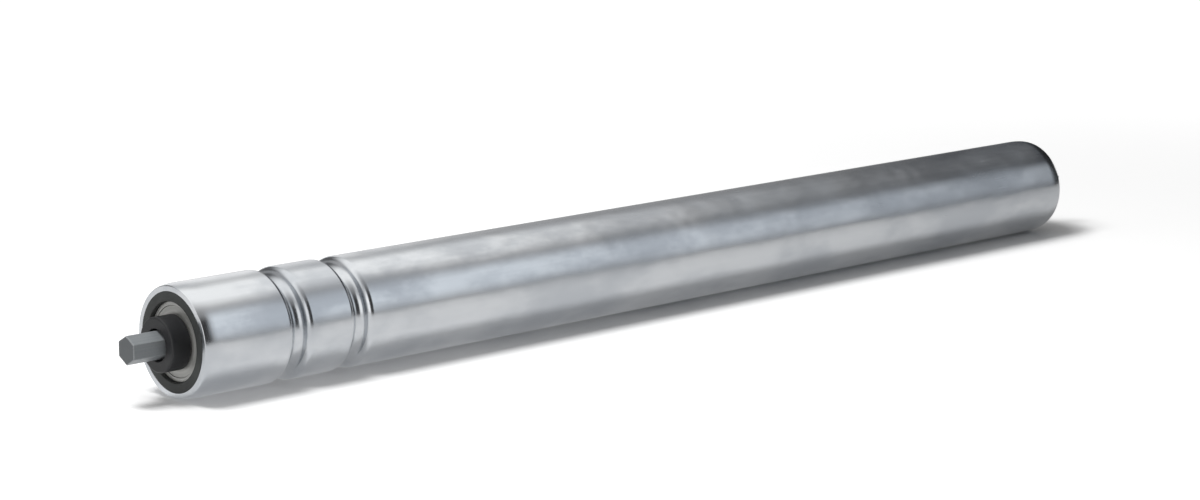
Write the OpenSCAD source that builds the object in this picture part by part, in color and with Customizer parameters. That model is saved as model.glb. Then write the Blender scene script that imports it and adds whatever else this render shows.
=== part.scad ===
// Gravity conveyor roller: a zinc-plated steel tube with two rolled grooves for round belts,
// a plastic seat with a shielded ball bearing in each end, and a spring-loaded hexagon shaft.
// The roller lies along X, centred on its own axis, with the grooved end at -X.
// Every piece is drawn along Z first: u is the distance from a tube end inward, and negative outside it.

/* [Tube] */
// Outside diameter of the tube
tube_od = 50; // [46:0.5:80]
// Length of the tube over both rolled rims
tube_len = 570; // [260:1:1500]
// Wall of the tube
tube_wall = 1.5; // [1:0.1:2.5]
// How far the rolled rim reaches in from the outside of the tube
rim_reach = 3.2; // [2.6:0.1:5]
// Outside radius of the bend at the rolled rim
rim_round = 1.2; // [0.6:0.1:2]
// Inside radius of the bend at the rolled rim
rim_bend = 0.3; // [0.1:0.1:1]

/* [Belt grooves] */
// Number of grooves for round belts
groove_count = 2; // [1:1:4]
// Distance from the tube end to the middle of the first groove
groove_start = 50; // [36:0.5:120]
// Distance between the middles of two grooves
groove_pitch = 33.3; // [20:0.1:60]
// Depth of a groove below the tube's surface
groove_depth = 5; // [2:0.1:5.5]
// Radius of the seat at the bottom of a groove
groove_seat = 3.7; // [2.6:0.1:6]
// Radius of the lip where a groove meets the tube's surface
groove_lip = 3; // [2.6:0.1:6]

/* [Shaft] */
// Width of the hexagon shaft across its flats
shaft_af = 11; // [8:0.5:12]
// How far the shaft stands out of each bush
shaft_reach = 15; // [4:0.5:30]
// Chamfer that breaks the corners at the shaft's ends
shaft_deburr = 0.25; // [0.1:0.05:0.8]
// Depth of the clip grooves below the shaft's flats
clip_groove_depth = 0.5; // [0.3:0.05:1]

/* [Bearing] */
// Outside diameter of the bearing
bearing_od = 35; // [34:0.5:36]
// Bore of the bearing
bearing_bore = 15; // [14.6:0.2:16]
// Width of the bearing
bearing_w = 11; // [10.4:0.1:14]
// How far the bearing sits behind the tube end
bearing_recess = 2; // [1:0.1:4]
// Number of balls
ball_count = 8; // [6:1:8]
// Diameter of a ball
ball_d = 5.95; // [5.2:0.05:6.3]
// Radius of a raceway's section as a share of the ball's diameter
race_share = 0.52; // [0.51:0.005:0.54]
// Height of a raceway's shoulder above its deepest line
race_depth = 1.15; // [0.8:0.05:1.4]
// Chamfer on the rings' seating corners
ring_chamfer = 0.5; // [0.2:0.1:0.8]
// Sheet thickness of the shields
shield_t = 0.35; // [0.25:0.05:0.5]
// Height of a shield's curled rim and turned-in lip
shield_lip = 0.8; // [0.6:0.05:1]
// How far a shield sits below the rings' faces
shield_depth = 0.3; // [0.1:0.05:0.5]
// Radial depth of the shield seats in the outer ring
shield_seat = 1.3; // [1:0.1:1.5]
// Sheet thickness of the cage
cage_t = 0.4; // [0.3:0.05:0.5]
// Radial width of the cage
cage_w = 1.9; // [1.4:0.1:2.1]
// Diameter of a cage rivet's shank
rivet_d = 0.8; // [0.6:0.05:0.9]
// Diameter of a cage rivet's head
rivet_head_d = 1.3; // [1.1:0.05:1.5]
// Height of a cage rivet's head
rivet_head_h = 0.3; // [0.2:0.05:0.4]

/* [Bearing seat] */
// Wall of the sleeve that holds the bearing
seat_wall = 2; // [1.4:0.1:2.2]
// Wall of the skirt that fits the tube
skirt_wall = 1.6; // [1.2:0.1:2]
// Thickness of the web between sleeve and skirt
web_t = 3; // [2:0.1:6]
// Length of the seat from the tube end
seat_len = 19; // [16:0.5:30]
// Thickness of the shoulder behind the bearing
shoulder_t = 1.6; // [1:0.1:3]
// Radial height of the shoulder behind the bearing
shoulder_h = 1.5; // [1:0.1:1.8]
// Number of ribs between sleeve and skirt
rib_count = 12; // [4:1:16]
// Thickness of a rib
rib_t = 1.5; // [1:0.1:2.5]
// Rounding of the seat's visible edges
seat_edge = 0.4; // [0.2:0.1:0.8]

/* [Bush] */
// Diameter of the bush where it stands out
bush_d = 24; // [20:0.5:28]
// How far the bush stands out of the tube end
bush_reach = 8; // [6:0.5:20]
// Rounding of the bush's front edge
bush_edge = 0.9; // [0.3:0.1:1.5]
// Diameter of the round hole in the bush's front
bush_hole_d = 14.2; // [14:0.2:17]
// Depth of the round hole in the bush's front
bush_hole_depth = 5; // [2:0.5:5.5]
// Diameter of the foot that stands on the bearing's inner ring
bush_foot_d = 18.6; // [17:0.2:19.6]
// Gap between the bush's skirt and the bearing's face
bush_gap = 0.4; // [0.3:0.1:0.8]
// How far the bush's spigot stands out behind the bearing
bush_tail = 1; // [0.5:0.1:3]

/* [Stops and spring] */
// Outside diameter of the washers
washer_od = 19; // [17.5:0.5:24]
// Thickness of the washers
washer_t = 1; // [0.6:0.1:2]
// Outside diameter of the retaining clips
clip_od = 18; // [16.5:0.5:22]
// Thickness of the retaining clips
clip_t = 1; // [0.6:0.1:1.5]
// Width of a clip's prongs
clip_prong = 2.4; // [1.5:0.1:3]
// Length of the spring as fitted
spring_len = 42; // [34:1:70]
// Wire diameter of the spring
spring_wire = 1.4; // [1:0.1:1.6]
// Number of working turns
spring_turns = 8; // [5:1:11]

/* [Fits] */
// Radial clearance drawn at pressed seats
press_gap = 0.02; // [0.01:0.01:0.05]
// Clearance between a hexagon flat and what slides on it
hex_play = 0.15; // [0.1:0.05:0.25]
// Radial clearance between balls and raceways
race_play = 0.03; // [0.02:0.01:0.06]
// Clearance between a ball and its pocket in the cage
pocket_play = 0.1; // [0.05:0.01:0.2]
// Radial gap between a shield's lip and the inner ring
shield_gap = 0.25; // [0.15:0.05:0.4]
// Radial gap between the rolled rim and the seat's front boss
rim_gap = 0.1; // [0.05:0.05:0.3]
// Play of a clip in its groove
clip_play = 0.1; // [0.05:0.05:0.2]
// Radial gap between the shaft's corners and the spring
spring_play = 0.3; // [0.2:0.1:0.6]
// Gap between the closed turns at the spring's ends
closed_gap = 0.04; // [0.02:0.02:0.1]

/* [Hidden] */
$fn = 96;
// Overrun of a cutting body past the face that it cuts
cut = 1;

// Tube
tube_r = tube_od / 2;
bore_r = tube_r - tube_wall;
rim_r = tube_r - rim_reach;

// Bearing, with z from its front face
bearing_r = bearing_od / 2;
bearing_bore_r = bearing_bore / 2;
bearing_mid = bearing_w / 2;
pitch_r = (bearing_r + bearing_bore_r) / 2;
ball_r = ball_d / 2;
race_r = race_share * ball_d;
outer_race_r = pitch_r + ball_r + race_play;
inner_race_r = pitch_r - ball_r - race_play;
outer_land_r = outer_race_r - race_depth;
inner_land_r = inner_race_r + race_depth;
shield_r = outer_land_r + shield_seat;
shield_bore_r = inner_land_r + shield_gap;
pocket_r = ball_r + pocket_play;

// Bearing seat, with u from the tube end
bearing_back = bearing_recess + bearing_w;
sleeve_r = bearing_r + press_gap;
sleeve_out_r = sleeve_r + seat_wall;
skirt_r = bore_r - press_gap;
skirt_in_r = skirt_r - skirt_wall;
boss_r = rim_r - rim_gap;
seat_corner = rim_bend + rim_gap;

// Bush
bush_r = bush_d / 2;
bush_back = bearing_back + bush_tail;
bush_skirt = bearing_recess - bush_gap;

// Shaft and what sits on it
hex_corner = 1 / cos(30);
shaft_corner_r = shaft_af / 2 * hex_corner;
hex_bore_r = (shaft_af / 2 + hex_play) * hex_corner;
shaft_len = tube_len + 2 * (bush_reach + shaft_reach);
clip_seat_r = shaft_af / 2 - clip_groove_depth;
clip_relief_r = shaft_corner_r + clip_play;
stop_clip_u = bush_back + washer_t;
spring_u = bush_back + washer_t;
spring_seat_u = spring_u + spring_len;
spring_clip_u = spring_seat_u + washer_t;
spring_r = shaft_corner_r + spring_play + spring_wire / 2;

// ---- Placing ----

// Lays a piece that is drawn along Z, centred on the roller's middle, along X.
module along_roller() {
    rotate([0, 90, 0]) children();
}

// Puts a piece drawn with z = u into the left (-1) or right (1) end of the roller.
module in_end(side) {
    rotate([0, -90 * side, 0]) translate([0, 0, -tube_len / 2]) children();
}

// Puts a piece drawn from the bearing's front face into one end.
module in_bearing(side) {
    in_end(side) translate([0, 0, bearing_recess]) children();
}

// Repeats a piece at every ball, or half a step further on.
module at_balls(half_step = 0) {
    for (i = [0 : ball_count - 1])
        rotate([0, 0, (i + half_step) * 360 / ball_count])
            translate([pitch_r, 0, bearing_mid]) children();
}

// A ring with a rectangular section.
module ring(outer, inner, length) {
    rotate_extrude() translate([inner, 0]) square([outer - inner, length]);
}

// ---- Tube ----

// What a rolled groove takes out of a surface of radius r: a round seat between two round lips.
module groove_section(r, seat, lip) {
    reach = seat + lip;
    half = sqrt(2 * reach * groove_depth - pow(groove_depth, 2));
    seat_y = r - groove_depth + seat;
    meet_x = half * seat / reach;
    meet_y = seat_y - (reach - groove_depth) * seat / reach;
    difference() {
        polygon([
            [r + cut, -half], [r + cut, half], [r - lip, half],
            [meet_y, meet_x], [meet_y, -meet_x], [r - lip, -half]
        ]);
        translate([r - lip, half]) circle(r = lip);
        translate([r - lip, -half]) circle(r = lip);
    }
    translate([seat_y, 0]) circle(r = seat);
}

// Section of a round bar whose two outer corners are rounded.
module round_ended_section(r, length, corner) {
    difference() {
        square([r, length]);
        for (end = [0, 1])
            translate([0, end * length]) mirror([0, end]) translate([r - corner, corner]) difference() {
                translate([0, -corner - cut]) square(corner + cut);
                circle(r = corner);
            }
    }
}

// Section of the tube's skin, less its grooves, shrunk inward by inset, with rounded end corners.
module skin_section(inset, corner) {
    difference() {
        translate([0, inset]) round_ended_section(tube_r - inset, tube_len - 2 * inset, corner);
        for (i = [0 : groove_count - 1])
            translate([0, groove_start + i * groove_pitch])
                groove_section(tube_r - inset, groove_seat + inset, groove_lip - inset);
    }
}

module tube() {
    color("silver") along_roller() translate([0, 0, -tube_len / 2]) rotate_extrude() difference() {
        skin_section(0, rim_round);
        skin_section(tube_wall, rim_bend);
        for (z = [-cut, tube_len - tube_wall - cut])
            translate([0, z]) square([rim_r, tube_wall + 2 * cut]);
    }
}

// ---- Shaft ----

// Groove for a retaining clip, from u inward.
module clip_groove(u) {
    translate([0, 0, u]) ring(shaft_corner_r + cut, clip_seat_r, clip_t + clip_play);
}

// Outline of a bar with broken corners that holds the whole hexagon.
module deburr_section() {
    wide = shaft_corner_r + cut;
    point = shaft_corner_r - shaft_deburr;
    rise = wide - point;
    polygon([
        [0, -shaft_len / 2], [point, -shaft_len / 2], [wide, rise - shaft_len / 2],
        [wide, shaft_len / 2 - rise], [point, shaft_len / 2], [0, shaft_len / 2]
    ]);
}

module shaft() {
    color("dimgray") difference() {
        along_roller() intersection() {
            cylinder(r = shaft_corner_r, h = shaft_len, center = true, $fn = 6);
            rotate_extrude() deburr_section();
        }
        in_end(-1) clip_groove(stop_clip_u);
        in_end(1) clip_groove(spring_clip_u);
    }
}

// ---- Ball bearing ----

module outer_ring(side) {
    color("lightgray") in_bearing(side) rotate_extrude() difference() {
        polygon([
            [outer_land_r, 0], [bearing_r - ring_chamfer, 0], [bearing_r, ring_chamfer],
            [bearing_r, bearing_w - ring_chamfer], [bearing_r - ring_chamfer, bearing_w],
            [outer_land_r, bearing_w]
        ]);
        translate([outer_race_r - race_r, bearing_mid]) circle(r = race_r);
        for (z = [-cut, bearing_w - shield_depth - shield_lip])
            translate([0, z]) square([shield_r, cut + shield_depth + shield_lip]);
    }
}

module inner_ring(side) {
    color("lightgray") in_bearing(side) rotate_extrude() difference() {
        polygon([
            [inner_land_r, 0], [bearing_bore_r + ring_chamfer, 0], [bearing_bore_r, ring_chamfer],
            [bearing_bore_r, bearing_w - ring_chamfer], [bearing_bore_r + ring_chamfer, bearing_w],
            [inner_land_r, bearing_w]
        ]);
        translate([inner_race_r + race_r, bearing_mid]) circle(r = race_r);
    }
}

module balls(side) {
    color("gainsboro") in_bearing(side) at_balls() sphere(r = ball_r);
}

// Section of a pressed shield, with its front at z = 0: a curled rim, a flat and a turned-in lip.
module shield_section() {
    rim = shield_r - press_gap - shield_t;
    translate([rim, 0]) square([shield_t, shield_lip]);
    translate([shield_bore_r, 0]) square([rim + shield_t - shield_bore_r, shield_t]);
    translate([shield_bore_r, 0]) square([shield_t, shield_lip]);
}

module front_shield(side) {
    color("darkkhaki") in_bearing(side)
        translate([0, 0, shield_depth]) rotate_extrude() shield_section();
}

module rear_shield(side) {
    color("darkkhaki") in_bearing(side)
        translate([0, 0, bearing_w - shield_depth]) mirror([0, 0, 1]) rotate_extrude() shield_section();
}

// Half of a pressed ribbon cage, on the front (-1) or rear (1) side of the balls.
module cage_half(side, face) {
    low = face < 0 ? bearing_mid - pocket_r - cage_t : bearing_mid;
    plate = face < 0 ? bearing_mid - cage_t : bearing_mid;
    color("goldenrod") in_bearing(side) difference() {
        intersection() {
            union() {
                translate([0, 0, plate]) ring(pitch_r + cage_w / 2, pitch_r - cage_w / 2, cage_t);
                at_balls() sphere(r = pocket_r + cage_t);
            }
            translate([0, 0, low])
                ring(pitch_r + cage_w / 2, pitch_r - cage_w / 2, pocket_r + cage_t);
        }
        at_balls() sphere(r = pocket_r);
        at_balls(1 / 2) cylinder(d = rivet_d + 2 * press_gap, h = 2 * (cage_t + cut), center = true);
    }
}

module cage_rivets(side) {
    color("gray") in_bearing(side) at_balls(1 / 2) {
        cylinder(d = rivet_d, h = 2 * (cage_t + rivet_head_h), center = true);
        for (s = [-1, 1])
            translate([0, 0, s * (cage_t + rivet_head_h / 2)])
                cylinder(d = rivet_head_d, h = rivet_head_h, center = true);
    }
}

// ---- Bearing seat ----

// Sleeve round the bearing with the shoulder behind it.
module seat_sleeve() {
    rotate_extrude() {
        translate([sleeve_r, 0]) square([seat_wall, bearing_back + shoulder_t]);
        translate([bearing_r - shoulder_h, bearing_back]) square([shoulder_h + seat_wall, shoulder_t]);
    }
}

// Skirt, web and front boss, with a chamfer under the bend of the tube's rim.
module seat_shell() {
    rotate_extrude() polygon([
        [sleeve_r, seat_edge], [sleeve_r + seat_edge, 0], [boss_r, 0], [boss_r, tube_wall],
        [skirt_r - seat_corner, tube_wall], [skirt_r, tube_wall + seat_corner],
        [skirt_r, seat_len], [skirt_in_r, seat_len], [skirt_in_r, web_t], [sleeve_r, web_t]
    ]);
}

module seat_ribs() {
    span = skirt_in_r - sleeve_out_r;
    overlap = min(seat_wall, skirt_wall) / 2;
    for (i = [0 : rib_count - 1])
        rotate([0, 0, i * 360 / rib_count])
            translate([sleeve_out_r - overlap, -rib_t / 2, web_t - overlap])
                cube([span + 2 * overlap, rib_t, bearing_back + shoulder_t - web_t]);
}

module bearing_seat(side) {
    color("darkslategray") in_end(side) union() {
        difference() {
            seat_sleeve();
            translate([0, 0, -cut]) cylinder(r = sleeve_r + seat_edge, h = cut + seat_edge);
        }
        seat_shell();
        seat_ribs();
    }
}

// ---- Bush ----

module bush_section() {
    edge_u = -bush_reach;
    difference() {
        translate([0, edge_u]) square([bush_r, bush_reach + bush_skirt]);
        translate([bush_r - bush_edge, edge_u + bush_edge]) difference() {
            translate([0, -bush_edge - cut]) square(bush_edge + cut);
            circle(r = bush_edge);
        }
    }
    square([bush_foot_d / 2, bearing_recess]);
    square([bearing_bore_r - press_gap, bush_back]);
}

module bush(side) {
    color("#333436") in_end(side) difference() {
        rotate_extrude() bush_section();
        translate([0, 0, -bush_reach - cut]) cylinder(d = bush_hole_d, h = bush_hole_depth + cut);
        translate([0, 0, -bush_reach]) cylinder(r = hex_bore_r, h = bush_reach + bush_back + cut, $fn = 6);
    }
}

// ---- Stops and spring ----

module washer(side, u) {
    color("lightsteelblue") in_end(side) translate([0, 0, u])
        ring(washer_od / 2, shaft_corner_r + hex_play, washer_t);
}

// Outline of an open retaining clip: three prongs that seat in the shaft's groove, and a mouth.
module clip_section() {
    difference() {
        circle(d = clip_od);
        difference() {
            circle(r = clip_relief_r);
            for (a = [0, 120, 240])
                rotate(a) translate([clip_relief_r / 2, 0])
                    square([clip_relief_r + cut, clip_prong], center = true);
        }
        circle(r = clip_seat_r + clip_play / 2);
        translate([-clip_od, -clip_seat_r + clip_prong / 2])
            square([clip_od, 2 * clip_seat_r - clip_prong]);
    }
}

module clip(side, u) {
    color("dimgray") in_end(side) translate([0, 0, u]) linear_extrude(clip_t) clip_section();
}

// Points along the wire, in steps of a turn: one closed turn at each end, and open turns between.
spring_steps = 18;
wire_sides = 8;
closed_pitch = spring_wire + closed_gap;
open_pitch = (spring_len - spring_wire - 2 * closed_pitch) / spring_turns;
spring_total = spring_turns + 2;
function wire_z(t) =
    t < 1 ? t * closed_pitch
    : t > spring_total - 1 ? closed_pitch + spring_turns * open_pitch + (t - spring_total + 1) * closed_pitch
    : closed_pitch + (t - 1) * open_pitch;
function ground(z) = max(0, min(spring_len, z));
function wire_ring(t) = [
    for (i = [0 : wire_sides - 1])
        let (a = i * 360 / wire_sides, r = spring_r + cos(a) * spring_wire / 2)
            [
                r * cos(360 * t), r * sin(360 * t),
                ground(spring_wire / 2 + wire_z(t) + sin(a) * spring_wire / 2)
            ]
];

module spring() {
    count = spring_total * spring_steps;
    rings = [for (k = [0 : count]) wire_ring(k / spring_steps)];
    points = [for (ring = rings, p = ring) p];
    sides = [
        for (k = [0 : count - 1], i = [0 : wire_sides - 1])
            let (j = (i + 1) % wire_sides, a = k * wire_sides, b = a + wire_sides)
                [a + i, b + i, b + j, a + j]
    ];
    first_cap = [for (i = [0 : wire_sides - 1]) i];
    last_cap = [for (i = [wire_sides - 1 : -1 : 0]) count * wire_sides + i];
    color("silver") in_end(1) translate([0, 0, spring_u])
        polyhedron(points = points, faces = concat([first_cap], sides, [last_cap]), convexity = 10);
}

// ---- Output ----

tube();
shaft();
bearing_seat(-1);  // left_bearing_seat
outer_ring(-1);  // left_outer_ring
inner_ring(-1);  // left_inner_ring
balls(-1);  // left_balls
cage_half(-1, -1);  // left_cage_front
cage_half(-1, 1);  // left_cage_rear
cage_rivets(-1);  // left_cage_rivets
front_shield(-1);  // left_front_shield
rear_shield(-1);  // left_rear_shield
bush(-1);  // left_bush
washer(-1, bush_back);  // left_stop_washer
clip(-1, stop_clip_u);  // left_stop_clip
bearing_seat(1);  // right_bearing_seat
outer_ring(1);  // right_outer_ring
inner_ring(1);  // right_inner_ring
balls(1);  // right_balls
cage_half(1, -1);  // right_cage_front
cage_half(1, 1);  // right_cage_rear
cage_rivets(1);  // right_cage_rivets
front_shield(1);  // right_front_shield
rear_shield(1);  // right_rear_shield
bush(1);  // right_bush
washer(1, bush_back);  // right_spring_washer
spring();
washer(1, spring_seat_u);  // spring_seat_washer
clip(1, spring_clip_u);  // spring_clip
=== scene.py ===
"""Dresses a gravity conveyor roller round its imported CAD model.

The roller lies along X with its grooved end at -X and rests on the floor on its tube. Sizes are given
in millimetres and meshes are made in metres, in the frame's own axes. u is the distance from one end of
the tube inward, and it is negative outside the tube.
"""

import logging
import math
from collections.abc import Callable
from dataclasses import dataclass, field
from enum import Enum
from functools import cache

import bmesh
import bpy
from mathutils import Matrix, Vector


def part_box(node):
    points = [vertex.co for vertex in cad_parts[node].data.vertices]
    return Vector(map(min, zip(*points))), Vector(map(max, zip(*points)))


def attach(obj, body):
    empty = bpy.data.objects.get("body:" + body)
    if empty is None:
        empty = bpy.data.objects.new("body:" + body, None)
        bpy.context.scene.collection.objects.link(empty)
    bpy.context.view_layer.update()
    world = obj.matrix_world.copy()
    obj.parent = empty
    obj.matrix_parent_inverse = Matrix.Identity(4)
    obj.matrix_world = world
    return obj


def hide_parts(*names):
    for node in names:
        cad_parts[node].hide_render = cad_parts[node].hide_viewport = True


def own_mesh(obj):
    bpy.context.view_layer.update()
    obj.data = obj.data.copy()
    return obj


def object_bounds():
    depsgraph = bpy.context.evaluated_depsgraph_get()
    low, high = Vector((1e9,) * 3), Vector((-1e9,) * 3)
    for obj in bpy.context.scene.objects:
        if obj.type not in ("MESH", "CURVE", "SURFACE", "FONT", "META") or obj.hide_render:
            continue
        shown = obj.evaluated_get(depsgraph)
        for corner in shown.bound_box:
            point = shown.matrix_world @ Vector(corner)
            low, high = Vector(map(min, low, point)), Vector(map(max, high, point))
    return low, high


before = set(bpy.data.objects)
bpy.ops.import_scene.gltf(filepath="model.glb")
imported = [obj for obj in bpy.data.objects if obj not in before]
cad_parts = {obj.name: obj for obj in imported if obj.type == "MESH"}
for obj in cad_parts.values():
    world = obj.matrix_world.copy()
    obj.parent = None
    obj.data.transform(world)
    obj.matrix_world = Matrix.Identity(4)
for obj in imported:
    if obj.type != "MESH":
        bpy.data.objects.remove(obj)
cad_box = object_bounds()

LOG = logging.getLogger("conveyor_roller")
MM = 0.001
# Degrees between the points of a turned arc, and between two faces that meet in a sharp edge.
ARC_STEP = 6.0
SHARP_ANGLE = 35.0
HEXAGON = 6

Colour = tuple[float, float, float]
Value = float | tuple[float, ...] | bpy.types.NodeSocket


class Side(Enum):
    """An end of the roller, with the direction in which it faces along X."""

    LEFT = -1
    RIGHT = 1

    @property
    def word(self) -> str:
        """The side's name as CAD nodes and pieces write it."""
        return self.name.lower()


class Body(Enum):
    """The moving bodies of the frame."""

    SHAFT = "shaft"
    BUSHES = "bushes"
    ROLLER = "roller"


class Slot(Enum):
    """The record's material slots."""

    ZINC = "zinc_steel"
    SHAFT = "shaft_steel"
    SEAT = "seat_plastic"
    BUSH = "bush_plastic"
    BEARING = "bearing_steel"
    BALL = "ball_steel"
    SHIELD = "shield_steel"
    CAGE = "cage_steel"
    WASHER = "washer_steel"
    CLIP = "clip_steel"
    SPRING = "spring_steel"


@cache
def node_box(node: str) -> tuple[Vector, Vector]:
    """Gives a CAD node's lowest and highest corners in metres, measured once."""
    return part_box(node)


# ---- Meshes ----


@dataclass(frozen=True)
class Corner:
    """One corner of an outline that is turned round the axis.

    r is the distance from the axis, or the distance to a flat where sides says how many flats there are.
    """

    u: float
    r: float
    sides: int = 0

    def reach(self, angle: float) -> float:
        """Gives the distance from the axis at an angle round it.

        Args:
            angle: The angle from +Z, in radians. A corner between two flats stands at 0.

        Returns:
            The distance in millimetres.
        """
        if not self.sides:
            return self.r
        step = 2 * math.pi / self.sides
        return self.r / math.cos(angle % step - step / 2)


@dataclass
class Outline:
    """A closed outline in u and r, drawn corner by corner as on a turner's drawing."""

    corners: list[Corner] = field(default_factory=list)

    def to(self, u: float, r: float, sides: int = 0) -> "Outline":
        """Adds one corner and returns the outline."""
        self.corners.append(Corner(u, r, sides))
        return self

    def arc(self, u: float, r: float, radius: float, start: float, end: float,
            stretch: float = 1.0) -> "Outline":
        """Adds an arc.

        Args:
            u: Where the arc's centre lies along the axis.
            r: Distance of the centre from the axis.
            radius: Radius of the arc.
            start: First angle in degrees, from +u toward +r.
            end: Last angle in degrees.
            stretch: How much longer the arc is along the axis than across it.

        Returns:
            The outline itself.
        """
        steps = max(2, math.ceil(abs(end - start) / ARC_STEP))
        for k in range(steps + 1):
            angle = math.radians(start + (end - start) * k / steps)
            self.to(u + stretch * radius * math.cos(angle), r + radius * math.sin(angle))
        return self

    def add(self, other: "Outline") -> "Outline":
        """Adds another outline's corners in their reverse order, and returns the outline."""
        self.corners.extend(reversed(other.corners))
        return self


def round_the_axis(x: float, reach: float, angle: float) -> Vector:
    """Gives the point in metres that lies reach millimetres from the axis, at an angle from +Z to -Y."""
    return Vector((x, -reach * MM * math.sin(angle), reach * MM * math.cos(angle)))


def placed(name: str, data: bpy.types.ID) -> bpy.types.Object:
    """Makes an object from its data and links it to the scene.

    Args:
        name: Name of the new object.
        data: Its mesh, light or camera.

    Returns:
        The object.
    """
    made = bpy.data.objects.new(name, data)
    bpy.context.scene.collection.objects.link(made)
    return made


def band(shape: bmesh.types.BMesh, near: list[bmesh.types.BMVert], far: list[bmesh.types.BMVert]) -> None:
    """Joins two loops by a band of faces.

    Args:
        shape: The shape that both loops belong to.
        near: The points of one loop.
        far: The points of the other, as many and in the same order.
    """
    count = len(near)
    for j in range(count):
        shape.faces.new((near[j], near[(j + 1) % count], far[(j + 1) % count], far[j]))


def finished(name: str, shape: bmesh.types.BMesh) -> bpy.types.Object:
    """Turns a worked shape into an object with smooth rounds and crisp edges.

    Args:
        name: Name of the new piece.
        shape: The closed shape. It is freed.

    Returns:
        The object, linked to the scene.
    """
    bmesh.ops.recalc_face_normals(shape, faces=shape.faces)
    mesh = bpy.data.meshes.new(name)
    shape.to_mesh(mesh)
    shape.free()
    mesh.shade_smooth()
    mesh.set_sharp_from_angle(angle=math.radians(SHARP_ANGLE))
    piece = placed(name, mesh)
    weights = piece.modifiers.new("flat_faces_lead", "WEIGHTED_NORMAL")
    weights.keep_sharp = True
    return piece


def turned(name: str, outline: Outline, place: Callable[[float], float], facets: int) -> bpy.types.Object:
    """Turns a closed outline round the axis.

    Args:
        name: Name of the new piece.
        outline: The section, in millimetres.
        place: Gives X in metres for a distance u.
        facets: Number of faces round the axis, a multiple of six where the outline has flats.

    Returns:
        The turned piece.
    """
    shape = bmesh.new()
    rings = []
    for k in range(facets):
        angle = 2 * math.pi * k / facets
        rings.append([
            shape.verts.new(round_the_axis(place(c.u), c.reach(angle), angle)) for c in outline.corners
        ])
    for k, near in enumerate(rings):
        band(shape, near, rings[(k + 1) % facets])
    return finished(name, shape)


def skinned(name: str, rings: list[list[Vector]]) -> bpy.types.Object:
    """Skins a stack of rings and closes it with a face at each end.

    Args:
        name: Name of the new piece.
        rings: Rings of points in metres, all with the same number of points.

    Returns:
        The skinned piece.
    """
    shape = bmesh.new()
    loops = [[shape.verts.new(point) for point in ring] for ring in rings]
    for near, far in zip(loops, loops[1:]):
        band(shape, near, far)
    shape.faces.new(loops[0])
    shape.faces.new(loops[-1])
    return finished(name, shape)


@dataclass(frozen=True)
class TubeEnd:
    """One end of the tube, from which the parts in it are measured."""

    side: Side

    def x(self, u: float) -> float:
        """Gives X in metres at a distance u inward from this end of the tube."""
        return self.side.value * (node_box("tube")[1].x - u * MM)


# ---- Node writing ----


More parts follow.
